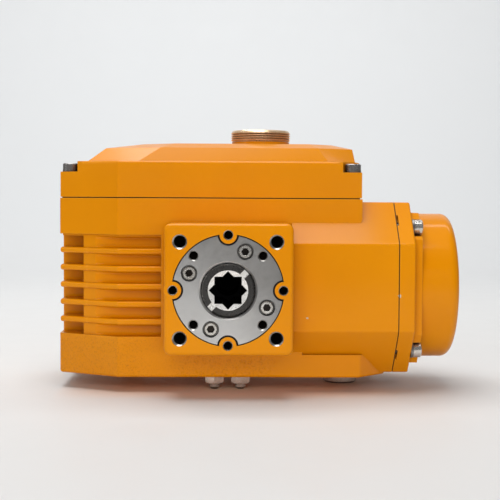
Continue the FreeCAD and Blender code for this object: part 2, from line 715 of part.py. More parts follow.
def terminal_cap():
    axis = (D.octagon_y, D.octagon_z)
    start = D.octagon_end + D.gasket
    flange = prism("cap_flange", octagon(D.octagon_half, D.octagon_flat), D.cap_flange_end - start,
                   (start, *axis), ALONG_X)
    flange = rounded("cap_flange_rounds", flange, D.octagon_edge, along_x)
    flange = rounded("cap_flange_rim", flange, 1.0,
                     lambda edge: edge.BoundBox.XMin > D.cap_flange_end.value - 0.1)
    step = prism("cap_step", octagon(D.cap_step_half, D.cap_step_flat), D.cap_step_end - start,
                 (start, *axis), ALONG_X)
    drum = rod("cap_drum", D.cap_round, D.cap_end - D.cap_flange_end, (D.cap_flange_end, *axis), ALONG_X)
    round_end = rounded("cap_drum_round", drum, D.cap_edge,
                        lambda edge: edge.BoundBox.XMin > D.cap_end.value - 0.1)
    whole = fuse("cap_whole", [flange, step, round_end])
    hollow = rod("cap_hollow", D.cap_hollow, D.cap_end - start - D.cap_wall, (start - 1, *axis), ALONG_X)
    piece("terminal_cap", cut("terminal_cap", whole, [hollow] + pry_slots(start) + cap_pockets(start)))


def pry_slots(start):
    """Short slots in the flange's slanted sides, at the parting line, where a blade lifts the cap off."""
    reach = (D.octagon_half + D.octagon_flat) / 2
    slots = []
    for index, (side, level) in enumerate(((-1, 1), (-1, -1), (1, 1), (1, -1))):
        middle = (start + D.pry_width / 2 - 0.1, D.octagon_y + (reach - 1.5) * side,
                  D.octagon_z + D.octagon_lift / 2 + (reach + 1.5) * level)
        slots.append(slanted_box(f"pry_slot_{index}", (D.pry_width, D.pry_depth, D.pry_length), middle,
                                 Rotation(Vector(1, 0, 0), 45 * side * level)))
    return slots


def cap_pockets(start):
    """Round seats for the screw heads, open towards the nearer side of the cap."""
    tools = []
    depth = 12
    for index, (y, z) in enumerate(cap_screw_spots()):
        outer = D.octagon_y + (y - D.octagon_y) * 1.6
        low, high = sorted((y, outer), key=lambda length: length.value)
        tools.append(rod(f"cap_pocket_{index}", D.cap_pocket, depth, (D.cap_flange_end, y, z), ALONG_X))
        tools.append(box(f"cap_opening_{index}", (D.cap_flange_end, low, z - D.cap_pocket),
                         (D.cap_flange_end + depth, high, z + D.cap_pocket)))
        tools.append(rod(f"cap_hole_{index}", 2.8, 14, (start - 2, y, z), ALONG_X))
    return tools


def cap_gasket():
    sheet = prism("cap_seal", octagon(D.octagon_half - 0.7, D.octagon_flat - 0.3), D.gasket,
                  (D.octagon_end, D.octagon_y, D.octagon_z), ALONG_X)
    tools = [rod("cap_seal_bore", D.terminal_bore, 3, (D.octagon_end - 1, D.octagon_y, D.octagon_z), ALONG_X)]
    for index, (y, z) in enumerate(cap_screw_spots()):
        tools.append(rod(f"cap_seal_hole_{index}", 2.8, 3, (D.octagon_end - 1, y, z), ALONG_X))
    piece("cap_gasket", cut("cap_gasket", sheet, tools))


# ---- screws ----

def socket_screw(name, shank, length, head, height, flats):
    """A socket screw: its shank points down local -Z from the head's seat at the origin."""
    points = [(0, -length), (shank - 0.5, -length), (shank, -length + 0.5), (shank, 0), (head, 0),
              (head, height - 0.5), (head - 0.5, height), (0, height)]
    blank = turned(f"{name}_blank", points)
    return cut(name, blank, [hexagon(f"{name}_socket", flats, height, (0, 0, height * 0.25))])


def spring_washer(name, inner, outer, height):
    """A split washer, its gap slanted as in a lock washer."""
    blank = ring(f"{name}_ring", inner, outer, height)
    gap = box(f"{name}_gap", (0, -0.5, -1), (outer + 2, 0.5, height + 1))
    return cut(name, blank, [gap])


def cover_fasteners():
    screw = socket_screw("cover_screw_form", 2.5, 24, 4.25, 3.4, 3.0)
    washer = spring_washer("cover_washer_form", 2.6, 4.4, 1.2)
    spots = cover_screw_spots()
    piece("cover_screws", copies("cover_screws", screw,
                                 [((x, y, D.notch_floor + 1.22), UPRIGHT) for x, y in spots]))
    piece("cover_washers", copies("cover_washers", washer,
                                  [((x, y, D.notch_floor + 0.01), UPRIGHT) for x, y in spots]))


def cap_fasteners():
    screw = socket_screw("cap_screw_form", 2.5, 20, 4.25, D.cap_screw_head.value, 4.0)
    washer = spring_washer("cap_washer_form", 2.6, 4.4, 1.3)
    spots = cap_screw_spots()
    piece("cap_screws", copies("cap_screws", screw,
                               [((D.cap_flange_end + 1.32, y, z), ALONG_X) for y, z in spots]))
    piece("cap_washers", copies("cap_washers", washer,
                                [((D.cap_flange_end + 0.01, y, z), ALONG_X) for y, z in spots]))


# ---- output flange ----

def output_retainer():
    disc = rod("retainer_disc", D.plate_round, D.plate_thick - 0.02, (0, 0, 0), ALONG_Y)
    tools = [rod("retainer_bore", D.plate_bore, D.plate_thick + 2, (0, -1, 0), ALONG_Y),
             cone("retainer_chamfer", D.plate_bore + 2, D.plate_bore, 2, (0, -1, 0), ALONG_Y)]
    for index, (x, z) in enumerate(around(D.tongue_circle / 2, 0, 4)):
        tools.append(rod(f"retainer_notch_{index}", D.plate_notch, D.plate_thick + 2, (x, -1, z), ALONG_Y))
    for index, (x, z) in enumerate(around(D.small_bolt_circle / 2, 45, 4)):
        tools.append(rod(f"small_hole_{index}", D.small_bolt_hole, D.plate_thick + 2, (x, -1, z), ALONG_Y))
        tools.append(cone(f"small_rim_{index}", D.small_bolt_hole + D.small_rim, D.small_bolt_hole,
                          D.small_rim, (x, 0.25 - D.small_rim, z), ALONG_Y))
    for index, (x, z) in enumerate(around(D.plate_screw_circle / 2, D.plate_screw_turn.value, 4)):
        tools.append(rod(f"retainer_counterbore_{index}", D.plate_screw_bore, 5, (x, -1, z), ALONG_Y))
        tools.append(rod(f"retainer_screw_hole_{index}", 2.1, D.plate_thick + 2, (x, -1, z), ALONG_Y))
    piece("output_retainer", cut("output_retainer", disc, tools))


def retainer_seal():
    """Black sealant that fills the gap round the retainer plate, a little below its face."""
    spots = around(D.tongue_circle / 2, 0, 4)
    rim = D.plate_round + D.plate_gap - D.seal_gap
    start = D.seal_start
    disc = rod("seal_disc", rim, D.seal_thick, (0, start, 0), ALONG_Y)
    inner = rod("seal_plate", D.plate_round + D.seal_gap, 9, (0, -1, 0), ALONG_Y)
    collars = [rod(f"seal_collar_{index}", D.plate_notch - D.seal_gap, D.seal_thick, (x, start, z), ALONG_Y)
               for index, (x, z) in enumerate(spots)]
    whole = fuse("seal_whole", [cut("seal_strip", disc, [inner])] + collars)
    trimmed = common("seal_trimmed", whole, rod("seal_limit", rim, 5, (0, 0, 0), ALONG_Y))
    lugs = [rod(f"seal_lug_{index}", D.tongue_round + D.seal_gap, 9, (x, -1, z), ALONG_Y)
            for index, (x, z) in enumerate(spots)]
    piece("retainer_seal", cut("retainer_seal", trimmed, lugs))


def retainer_screws():
    screw = socket_screw("retainer_screw_form", 2.0, 3.8, 3.45, 3.5, 3.6)
    facing = Rotation(Vector(1, 0, 0), 90)
    spots = around(D.plate_screw_circle / 2, D.plate_screw_turn.value, 4)
    places = [((x, 3.98, z), facing) for x, z in spots]
    piece("retainer_screws", copies("retainer_screws", screw, places))


def output_bearings():
    inner = D.sleeve_round + D.running
    piece("output_seal", ring("output_seal", inner, D.bush_outer - 0.1, 3.4,
                              (0, D.plate_thick + 0.1, 0), ALONG_Y))
    piece("front_bushing", ring("front_bushing", inner, D.bush_outer, D.cavity_front - D.plate_thick - 4,
                                (0, D.plate_thick + 4, 0), ALONG_Y))
    piece("rear_bushing", ring("rear_bushing", D.tail_round + D.running, D.tail_bush, 9,
                               (0, D.cavity_back - 3.1, 0), ALONG_Y))


# ---- output shaft ----

def output_sleeve():
    length = D.sleeve_end - D.sleeve_start
    shoulder = D.sleeve_step - D.sleeve_start
    profile = [(0, 0), (D.sleeve_round - 0.8, 0), (D.sleeve_round, 0.8), (D.sleeve_round, shoulder),
               (D.tail_round, shoulder), (D.tail_round, length - 1), (D.tail_round - 1, length), (0, length)]
    blank = turned("sleeve_blank", profile, (0, D.sleeve_start, 0), ALONG_Y)
    half = D.star_flats / 2
    depth = D.star_end - D.sleeve_start
    square = [(half, half), (-half, half), (-half, -half), (half, -half)]
    tools = [prism("star_square", square, depth + 1, (0, D.sleeve_start - 1, 0), ALONG_Y),
             prism("star_diamond", square, depth + 1, (0, D.sleeve_start - 1, 0),
                   ALONG_Y * Rotation(Vector(0, 0, 1), 45)),
             cone("star_lead_in", D.star_lead, D.star_flats / 2, D.star_lead_depth, (0, D.sleeve_start, 0),
                  ALONG_Y),
             cone("star_mouth", D.star_lead + 0.3, D.star_lead, 0.3, (0, D.sleeve_start - 0.2, 0), ALONG_Y),
             rod("sleeve_core", 6.5, 40, (0, D.star_end - 1, 0), ALONG_Y),
             box("sleeve_keyway", (-D.key_width / 2 - 0.01, D.cam_start - 2, D.key_bottom - 0.02),
                 (D.key_width / 2 + 0.01, D.sleeve_step + 1, 20))]
    wide = D.end_slot / 2
    slot = prism("end_slot", [(-20, -wide), (20, -wide), (20, wide), (-20, wide)], 1.6,
                 (0, D.sleeve_start - 0.2, 0), ALONG_Y * Rotation(Vector(0, 0, 1), -45))
    piece("output_sleeve", cut("output_sleeve", blank, tools + [slot]))
    key = box("output_key", (-D.key_width / 2, D.cam_start - 1.9, D.key_bottom),
              (D.key_width / 2, D.sleeve_step - 0.2, D.key_top))
    piece("output_key", key)


def stop_cam():
    """A disc with a quarter cut back to its core; its two flats meet the stop screws a quarter turn apart."""
    core = D.cam_core.value
    outer = D.cam_round.value
    width = D.cam_width.value
    disc = Part.makeCylinder(outer, width)
    below = Part.makeBox(2 * outer, outer, width, Vector(-outer, core, 0))
    beside = Part.makeBox(outer, 2 * outer, width, Vector(core, -outer, 0))
    quarter = Part.makeBox(outer, outer, width)
    body = disc.cut(below).cut(beside).cut(quarter.cut(Part.makeCylinder(core, width)))
    bored = body.cut(Part.makeCylinder(D.sleeve_round.value + D.snug.value, width))
    shape = bored.cut(keyway(width, D.key_top.value + 0.02))
    piece("stop_cam", computed("stop_cam", shape, (0, D.cam_start, 0), ALONG_Y))


def worm_wheel():
    """The wheel's teeth lean by the worm's lead angle, as a loft between two turned outlines."""
    module = D.worm_module.value
    width = D.wheel_width.value
    pitch = module * D.wheel_teeth.value / 2
    lead = module * math.pi / (2 * math.pi * D.worm_pitch_round.value)
    lean = math.degrees(lead * width / 2 / pitch)
    teeth = int(D.wheel_teeth.value)
    ends = [gear_wire(teeth, module, 0.5, turn, level) for turn, level in ((lean, 0), (-lean, width))]
    blank = Part.makeLoft(ends, True, True)
    bored = blank.cut(Part.makeCylinder(D.sleeve_round.value + D.snug.value, width))
    shape = bored.cut(keyway(width, D.key_top.value + 0.02))
    start = D.worm_y - D.wheel_width / 2
    piece("worm_wheel", computed("worm_wheel", shape, (0, start, 0), ALONG_Y))


def camshaft_height():
    """The camshaft lies above the sleeve at the gear pair's centre distance."""
    reach = (D.drive_teeth.value + D.cam_gear_teeth.value) / 2
    return math.sqrt(reach ** 2 - D.camshaft_x.value ** 2)


def camshaft_bearing():
    return math.degrees(math.atan2(-camshaft_height(), D.camshaft_x.value))


def cam_drive_gear():
    gear = gear_solid(int(D.drive_teeth.value), 1.0, D.camshaft_gear_width.value, camshaft_bearing(),
                      D.sleeve_round.value + D.snug.value)
    shape = gear.cut(keyway(D.camshaft_gear_width.value, D.key_top.value + 0.02))
    piece("cam_drive_gear", computed("cam_drive_gear", shape, (0, D.camshaft_gear_y, 0), ALONG_Y))


# ---- worm shaft and motor ----

def worm_thread():
    """A single left-hand thread with a gap facing the wheel at mid height."""
    module = D.worm_module.value
    pitch = module * math.pi
    turns = D.worm_turns.value
    middle = D.worm_pitch_round.value
    half = (pitch / 2 - 0.45) / 2
    slope = math.tan(math.radians(20))
    low, high = D.worm_core.value - 0.3, middle + module
    start = -turns * pitch / 2
    spots = [(low, half + (middle - low) * slope), (high, half - (high - middle) * slope)]
    section = [Vector(r, 0, w) for r, w in spots] + [Vector(r, 0, -w) for r, w in reversed(spots)]
    helix = Part.makeHelix(pitch, turns * pitch, middle, 0, True)
    thread = Part.Wire(helix.Edges).makePipeShell([Part.makePolygon(section + section[:1])], True, True)
    thread.translate(Vector(0, 0, start))
    return thread


def worm_shaft():
    journal = D.worm_journal.value
    foot = D.cavity_floor.value - 3.4
    top = D.train_z.value + D.train_width.value + 1.4
    shaft = Part.makeCylinder(journal, top - foot, Vector(0, 0, foot))
    core = Part.makeCylinder(D.worm_core.value, 66, Vector(0, 0, -33))
    socket = Part.makeCylinder(2.2, 6, Vector(0, 0, top - 5))
    shape = core.fuse([shaft, worm_thread()]).cut(socket)
    piece("worm_shaft", computed("worm_shaft", shape, (D.worm_x, D.worm_y, 0)))
    race = ring("worm_race", D.worm_journal + 0.02, D.bearing_outer, 4.9)
    places = [((D.worm_x, D.worm_y, D.cavity_floor - 3.95), UPRIGHT), ((D.worm_x, D.worm_y, 39.0), UPRIGHT)]
    piece("worm_bearings", copies("worm_bearings", race, places))


def motor_spot():
    """The motor's axis, set off from the worm's by the spur pair's centre distance."""
    reach = D.train_module.value * (D.gear_teeth.value + D.pinion_teeth.value) / 2
    dx = D.motor_dx.value
    dy = math.sqrt(reach ** 2 - dx ** 2)
    return dx, dy


def spur_pair():
    dx, dy = motor_spot()
    module = D.train_module.value
    width = D.train_width.value
    toward = math.degrees(math.atan2(dy, dx))
    gear = gear_solid(int(D.gear_teeth.value), module, width, toward, D.worm_journal.value + 0.02,
                      addendum=0.85)
    for index in range(6):
        window = Part.makeCylinder(4, width, Vector(12.5, 0, 0))
        window.rotate(Vector(0, 0, 0), Vector(0, 0, 1), 60 * index + 30)
        gear = gear.cut(window)
    piece("worm_gear", computed("worm_gear", gear, (D.worm_x, D.worm_y, D.train_z)))
    pinion_turn = toward + 180 + 180 / D.pinion_teeth.value
    pinion = gear_solid(int(D.pinion_teeth.value), module, width + 0.6, pinion_turn, 2.52)
    piece("motor_pinion", computed("motor_pinion", pinion, (D.worm_x + dx, D.worm_y + dy, D.train_z - 0.3)))


def motor():
    dx, dy = motor_spot()
    axis = (D.worm_x + dx, D.worm_y + dy)
    top = D.ledge - 0.2
    can = [(0, D.motor_bottom), (D.motor_round, D.motor_bottom), (D.motor_round, top), (6, top),
           (6, top - 1.5), (D.motor_round - 1.2, top - 1.5), (D.motor_round - 1.2, D.motor_bottom + 1.5),
           (6.05, D.motor_bottom + 1.5), (6.05, D.motor_bottom + 1.0), (0, D.motor_bottom + 1.0)]
    piece("motor_can", turned("motor_can", can, (*axis, 0)))
    pack = ring("stator_ring", D.stator_bore, D.motor_round - 1.25, 26, (*axis, -6))
    slots = []
    for index in range(6):
        turn = Rotation(Vector(0, 0, 1), 60 * index)
        slots.append(prism(f"stator_slot_{index}", [(11, -1.2), (14.5, -2.4), (14.5, 2.4), (11, 1.2)], 28,
                           (*axis, -7), turn))
    piece("motor_stator", cut("motor_stator", pack, slots))
    coil = ring("coil_form", D.stator_bore + 0.2, D.motor_round - 1.6, 8)
    piece("motor_windings", copies("motor_windings", coil,
                                   [((*axis, level), UPRIGHT) for level in (-14.2, 20.2)]))
    rotor = [(0, -20), (2.5, -20), (2.5, -8), (D.rotor_round - 2, -8), (D.rotor_round, -6),
             (D.rotor_round, 20), (D.rotor_round - 2, 22), (2.5, 22), (2.5, 51), (0, 51)]
    piece("motor_rotor", turned("motor_rotor", rotor, (*axis, 0)))
    race = ring("motor_race", 2.52, 5.9, 5)
    levels = (D.motor_bottom + 1.1, D.ledge - 5.3)
    piece("motor_bearings", copies("motor_bearings", race, [((*axis, level), UPRIGHT) for level in levels]))


def bridge_plate():
    dx, dy = motor_spot()
    points = [(D.shelf_left + 0.3, 51), (-59, D.cavity_front + 0.5), (-8, D.cavity_front + 0.5),
              (-8, D.shelf_back - 0.5), (D.shelf_left + 0.3, D.shelf_back - 0.5)]
    sheet = prism("bridge_sheet", points, D.bridge_thick, (0, 0, D.ledge))
    tools = [rod("bridge_worm_bore", D.bearing_outer + 0.02, 8, (D.worm_x, D.worm_y, D.ledge - 2)),
             rod("bridge_motor_bore", 6.3, 8, (D.worm_x + dx, D.worm_y + dy, D.ledge - 2))]
    for index, (x, y) in enumerate(bridge_screw_spots()):
        tools.append(rod(f"bridge_hole_{index}", 2.2, 8, (x, y, D.ledge - 2)))
    piece("bridge_plate", cut("bridge_plate", sheet, tools))
    screw = socket_screw("bridge_screw_form", 2.0, 10, 3.5, 3.0, 3.0)
    places = [((x, y, D.ledge + D.bridge_thick + 0.02), UPRIGHT) for x, y in bridge_screw_spots()]
    piece("bridge_screws", copies("bridge_screws", screw, places))


# ---- camshaft and switches ----

def camshaft():
    level = camshaft_height()
    axis = (D.camshaft_x, level)
    core = D.camshaft_round
    start = 55.0
    profile = [(0, 0), (core - 0.4, 0), (core, 0.4), (core, 47), (core - 0.4, 47.4), (0, 47.4)]
    piece("camshaft", turned("camshaft", profile, (axis[0], start, axis[1]), ALONG_Y))
    bore = core + D.snug
    hub = 5.5
    drum = [(bore, 0), (hub, 0), (hub, 1), (D.drum_round, 1), (D.drum_round, D.drum_width),
            (hub, D.drum_width), (hub, D.drum_width + 1), (bore, D.drum_width + 1)]
    piece("indicator_drum", turned("indicator_drum", drum, (axis[0], D.drum_start, axis[1]), ALONG_Y))
    turn = camshaft_bearing() + 180 + 180 / D.cam_gear_teeth.value
    gear = gear_solid(int(D.cam_gear_teeth.value), 1.0, D.camshaft_gear_width.value, turn, bore.value)
    piece("cam_gear", computed("cam_gear", gear, (axis[0], D.camshaft_gear_y, axis[1]), ALONG_Y))
    for label, spot, angle in (("cam_open", D.open_cam_y, 200), ("cam_close", D.close_cam_y, 20)):
        shape = switch_cam(bore.value, angle)
        piece(label, computed(label, shape, (axis[0], spot, axis[1]), ALONG_Y))


def switch_cam(bore, angle):
    """A cam disc whose lobe reaches further out over a third of a turn."""
    width = D.switch_cam_width.value
    lobe = Part.makeCylinder(D.lobe_round.value, width, Vector(0, 0, 0), Vector(0, 0, 1), 120)
    lobe.rotate(Vector(0, 0, 0), Vector(0, 0, 1), angle)
    disc = Part.makeCylinder(D.lobe_round.value - 3, width)
    return disc.fuse(lobe).cut(Part.makeCylinder(bore, width)).removeSplitter()


def switch_bracket():
    level = camshaft_height()
    base = box("bracket_base", (39, 57, D.ledge), (46.5, 100.3, D.ledge + 1.5))
    wall = box("bracket_wall", (46.3, 78.8, D.ledge + 1), (47.8, 91, 64))
    arms = [box(f"bracket_arm_{index}", (12, start, D.ledge + 0.2), (46.5, start + 1.8, level + 7))
            for index, start in enumerate((57.0, 98.5))]
    whole = fuse("bracket_whole", [base, wall] + arms)
    bore = rod("bracket_bore", D.camshaft_round + 0.05, 60, (D.camshaft_x, 50, level), ALONG_Y)
    piece("switch_bracket", cut("switch_bracket", whole, [bore]))


def limit_switches():
    """Two switch bodies side by side, and the sprung lever in front of each."""
    body = box("switch_form", (0, 0, 0), (size(8.6), 5.2, 18))
    button = box("switch_button", (size(-0.9), 1.9, 6), (0.5, 3.3, 8.5))
    terminals = [box(f"switch_tab_{index}", (size(3.0), 1.6, 17.5), (5.0, 3.6, 21.0 - index))
                 for index in range(1)]
    form = fuse("switch_whole", [body, button] + terminals)
    spots = (D.open_cam_y - 0.6, D.close_cam_y - 0.6)
    piece("limit_switches", copies("limit_switches", form, [((37.6, y, 42.2), UPRIGHT) for y in spots]))
    for label, y in zip(("open_lever", "close_lever"), spots):
        blade = box(f"{label}_blade", (size(35.9), y + 0.6, 44.0), (36.4, y + 4.6, 59.4))
        pivot = rod(f"{label}_pivot", 0.8, 4, (36.2, y + 0.6, 59.6), ALONG_Y)
        roller = rod(f"{label}_roller", 2.0, 4, (34.1, y + 0.6, 45.0), ALONG_Y)
        piece(label, fuse(label, [blade, pivot, roller]))


# ---- electrical pieces ----

def electrical_pieces():
    can = [(0, 0), (5.8, 0), (6.2, 0.5), (6.2, 28), (5.6, 28.5), (0, 28.5)]
    piece("capacitor", turned("capacitor", can, (53.2, 49.5, D.ledge + 6.3), ALONG_Y))
    block = box("heater_block", (49, 80, D.ledge), (58.5, 100, D.ledge + 8))
    ribs = [box(f"heater_rib_{index}", (49.8 + 2.2 * index, 80, D.ledge + 7.9), (51.0 + 2.2 * index, 100, 51))
            for index in range(4)]
    piece("heater", fuse("heater", [block] + ribs))
    rail = box("terminal_rail", (D.terminal_floor, 42, -14), (D.terminal_floor + 14, 84, 10))
    slots = []
    for index in range(6):
        y = 43.5 + 6.8 * index
        slots.append(rod(f"terminal_screw_{index}", 2.2, 6, (D.terminal_floor + 9, y + 2.4, 4), ALONG_X))
        slots.append(box(f"terminal_mouth_{index}", (D.terminal_floor + 6, y, -16),
                         (D.terminal_floor + 11, y + 4, -9)))
    piece("terminal_block", cut("terminal_block", rail, slots))


# ---- supports under the body ----

def nut_blank(name, flats, height):
    """A hexagon with both ends turned down, as on a nut or a bolt head."""
    corner = flats * 0.5774
    cone_end = flats * 0.48
    limit = turned(f"{name}_limit", [(0, 0), (cone_end, 0), (corner + 0.1, 0.9), (corner + 0.1, height - 0.9),
                                     (cone_end, height), (0, height)])
    return common(name, hexagon(f"{name}_prism", flats, height, (0, 0, 0)), limit)


def stop_screws():
    length = D.stop_tip - D.foot_z
    profile = [(0, 0), (2.0, 0), (D.stop_round, 1.2), (D.stop_round, length - 0.6),
               (D.stop_round - 0.6, length), (0, length)]
    form = turned("stop_screw_form", profile)
    places = [((side * D.stop_x, D.stop_y, D.foot_z), UPRIGHT) for side in (-1, 1)]
    piece("stop_screws", copies("stop_screws", form, places))
    blank = nut_blank("stop_nut_blank", D.nut_flats, D.nut_height)
    nut = cut("stop_nut_form", blank, [rod("stop_nut_bore", D.stop_round + 0.03, 9, (0, 0, -1))])
    turn = Rotation(Vector(0, 0, 1), 30)
    level = D.bottom - D.nut_height - 0.02
    places = [((side * D.stop_x, D.stop_y, level), turn) for side in (-1, 1)]
    piece("stop_nuts", copies("stop_nuts", nut, places))


def cable_plug():
    seal = D.plug_seal
    height = D.bottom - D.foot_z - seal
    profile = [(0, 0), (D.plug_round - 0.8, 0), (D.plug_round, 0.8), (D.plug_round, height),
               (D.plug_thread, height), (D.plug_thread, height + seal + 9),
               (D.plug_thread - 1, height + seal + 10), (0, height + seal + 10)]
    piece("cable_plug", turned("cable_plug", profile, (D.plug_x, D.plug_y, D.foot_z)))
    piece("plug_seal", ring("plug_seal", D.plug_thread + 0.05, D.plug_round - 0.6, seal - 0.04,
                            (D.plug_x, D.plug_y, D.bottom - seal + 0.02)))


def earth_screw():
    spot = (D.earth_x, D.earth_y)
    head = nut_blank("earth_head", D.nut_flats, size(6.2))
    place(head, (*spot, D.foot_z))
    shank = rod("earth_shank", 3.4, 12, (*spot, D.foot_z + 0.5))
    piece("earth_screw", fuse("earth_screw", [head, shank]))
    piece("earth_washer", ring("earth_washer", 3.45, 7.5, 1.5, (*spot, D.bottom - 1.55)))


def main():
    gear_housing()
    rating_plate()
    electrical_cover()
    cover_gasket()
    sight_window()
    terminal_cap()
    cap_gasket()
    cover_fasteners()
    cap_fasteners()
    output_retainer()
    retainer_seal()
    retainer_screws()
    output_bearings()
    output_sleeve()
    stop_cam()
    worm_wheel()
    cam_drive_gear()
    worm_shaft()
    spur_pair()
    motor()
    bridge_plate()
    camshaft()
    switch_bracket()
    limit_switches()
    electrical_pieces()
    stop_screws()
    cable_plug()
    earth_screw()
    DOC.recompute()
    check()
    export()


def check():
    broken = [each.Name for each in DOC.Objects if "Invalid" in each.State or "Error" in each.State]
    if broken:
        raise RuntimeError(f"failed objects: {broken}")
    for each in PIECES:
        if each.Shape.isNull() or not each.Shape.isValid() or each.Shape.Volume <= 0:
            raise RuntimeError(f"bad shape: {each.Label}")


def export():
    os.makedirs("parts", exist_ok=True)
    for each in PIECES:
        each.Shape.exportStep(f"parts/{each.Label}.step")


main()
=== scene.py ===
import functools
import json
import math

import bpy
from mathutils import Euler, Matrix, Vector


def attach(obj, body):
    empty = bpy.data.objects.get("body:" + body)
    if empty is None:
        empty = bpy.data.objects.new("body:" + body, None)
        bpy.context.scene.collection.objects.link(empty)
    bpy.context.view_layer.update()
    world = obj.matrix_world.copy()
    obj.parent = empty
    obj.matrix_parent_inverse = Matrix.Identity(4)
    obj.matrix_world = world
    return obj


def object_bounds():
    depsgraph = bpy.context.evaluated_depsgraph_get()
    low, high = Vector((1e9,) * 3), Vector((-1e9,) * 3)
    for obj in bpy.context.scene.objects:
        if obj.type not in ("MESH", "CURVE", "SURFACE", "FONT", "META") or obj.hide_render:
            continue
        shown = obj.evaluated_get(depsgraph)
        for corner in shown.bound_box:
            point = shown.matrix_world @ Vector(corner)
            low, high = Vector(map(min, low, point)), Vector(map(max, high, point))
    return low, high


# Quarter-turn electric valve actuator on a pale studio floor, its output flange towards the camera.
# Metres. +X towards the terminal housing, +Y from the flange into the body, +Z up.

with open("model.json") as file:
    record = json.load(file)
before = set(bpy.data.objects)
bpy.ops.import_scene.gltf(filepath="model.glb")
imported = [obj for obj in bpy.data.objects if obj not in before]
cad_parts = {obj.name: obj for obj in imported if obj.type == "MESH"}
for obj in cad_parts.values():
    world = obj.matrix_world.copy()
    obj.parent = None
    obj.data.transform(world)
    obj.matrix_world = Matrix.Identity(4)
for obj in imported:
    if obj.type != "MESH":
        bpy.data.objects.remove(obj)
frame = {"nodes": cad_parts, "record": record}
cad_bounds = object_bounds()

NODES = frame["nodes"]
SLOT_OF = {part["node"]: part["material_slot"] for part in frame["record"]["subparts"]}
MOUNTS = {mount["name"]: mount["dims"] for mount in frame["record"]["mounts"]}
FLOOR = cad_bounds[0][2]
MM = 0.001


# ---- node graphs ----

class Graph:
    """A material under construction: a shader and the node tree behind it."""

    def __init__(self, name):
        self.material = bpy.data.materials.new(name)
        self.material.use_nodes = True
        self.tree = self.material.node_tree
        self.shader = self.tree.nodes["Principled BSDF"]
        self.place = self.tree.nodes.new("ShaderNodeTexCoord").outputs["Object"]

    def add(self, kind, **values):
        """A new node; a value goes to the input of that name or, if there is none, to the setting."""
        node = self.tree.nodes.new(kind)
        for name, value in values.items():
            if name in node.inputs:
                self.feed(node.inputs[name], value)
            else:
                setattr(node, name, value)
        return node

    def feed(self, socket, value):
        if isinstance(value, bpy.types.NodeSocket):
            self.tree.links.new(value, socket)
        else:
            socket.default_value = value

    def set(self, **values):
        """Feed the shader's own inputs."""
        for name, value in values.items():
            self.feed(self.shader.inputs[name.replace("_", " ")], value)

    # patterns

    def noise(self, scale, detail, roughness=0.5, vector=None, distortion=0.0):
        node = self.add("ShaderNodeTexNoise", Scale=scale, Detail=detail, Roughness=roughness,
                        Distortion=distortion, Vector=vector or self.place)
        return node.outputs["Fac"]

    def cells(self, scale):
        """The distance to the nearest of many scattered points."""
        return self.add("ShaderNodeTexVoronoi", Scale=scale, Vector=self.place).outputs["Distance"]

    def creases(self, distance):
        """1 in open places and less towards the bottom of a crease."""
        return self.add("ShaderNodeAmbientOcclusion", Distance=distance, samples=8).outputs["AO"]

    def edges(self, distance):
        """0 on open faces and more along the outer edges of a solid."""
        node = self.add("ShaderNodeAmbientOcclusion", Distance=distance, samples=8, inside=True)
        return self.minus(1.0, node.outputs["AO"])

    # places

    def split(self):
        """The point's x, y and z."""
        node = self.add("ShaderNodeSeparateXYZ")
        self.feed(node.inputs[0], self.place)
        return node.outputs

    def join(self, x, y, z):
        node = self.add("ShaderNodeCombineXYZ")
        for socket, value in zip(node.inputs, (x, y, z)):
            self.feed(socket, value)
        return node.outputs[0]

    def radius(self):
        """The distance from the output axis."""
        x, _, z = self.split()
        return self.length(x, z)

    # arithmetic

    def math(self, operation, first, second=0.0):
        node = self.add("ShaderNodeMath", operation=operation)
        self.feed(node.inputs[0], first)
        self.feed(node.inputs[1], second)
        return node.outputs[0]

    def minus(self, first, second):
        return self.math("SUBTRACT", first, second)

    def plus(self, *terms):
        return functools.reduce(functools.partial(self.math, "ADD"), terms)

    def times(self, *factors):
        return functools.reduce(functools.partial(self.math, "MULTIPLY"), factors)

    def largest(self, *values):
        return functools.reduce(functools.partial(self.math, "MAXIMUM"), values)

    def length(self, *sides):
        return self.math("SQRT", self.plus(*[self.times(side, side) for side in sides]))

    def ramp(self, value, low, high, start=0.0, end=1.0):
        """A straight change from start at low to end at high, and level beyond both."""
        node = self.add("ShaderNodeMapRange", clamp=True)
        self.feed(node.inputs["Value"], value)
        for name, number in (("From Min", low), ("From Max", high), ("To Min", start), ("To Max", end)):
            self.feed(node.inputs[name], number)
        return node.outputs["Result"]

    def above(self, value, edge, blur):
        """0 below an edge and 1 above it, with a change as wide as blur between them."""
        return self.ramp(value, edge - blur / 2, edge + blur / 2)

    def below(self, value, edge, blur):
        """1 below an edge and 0 above it, with a change as wide as blur between them."""
        return self.ramp(value, edge - blur / 2, edge + blur / 2, 1.0, 0.0)

    def between(self, value, low, high, blur):
        """1 between two edges and 0 outside them."""
        return self.times(self.above(value, low, blur), self.below(value, high, blur))

    # colour and surface

    def blend(self, share, first, second):
        node = self.add("ShaderNodeMix", data_type="RGBA")
        for index, value in ((0, share), (6, first), (7, second)):
            self.feed(node.inputs[index], value)
        return node.outputs[2]

    def bump(self, height, distance, strength, normal=None):
        node = self.add("ShaderNodeBump", Strength=strength, Distance=distance, Height=height)
        if normal is not None:
            self.feed(node.inputs["Normal"], normal)
        return node.outputs["Normal"]

    def soft_edges(self, radius):
        """A normal that turns smoothly over the sharp edges of a solid."""
        return self.add("ShaderNodeBevel", samples=4, Radius=radius).outputs["Normal"]


def srgb(red, green, blue):
    """A display colour, 0 to 255, as linear light with full alpha."""
    channels = []
    for value in (red, green, blue):
        share = value / 255
        channels.append(share / 12.92 if share <= 0.04045 else ((share + 0.055) / 1.055) ** 2.4)
    return (*channels, 1.0)


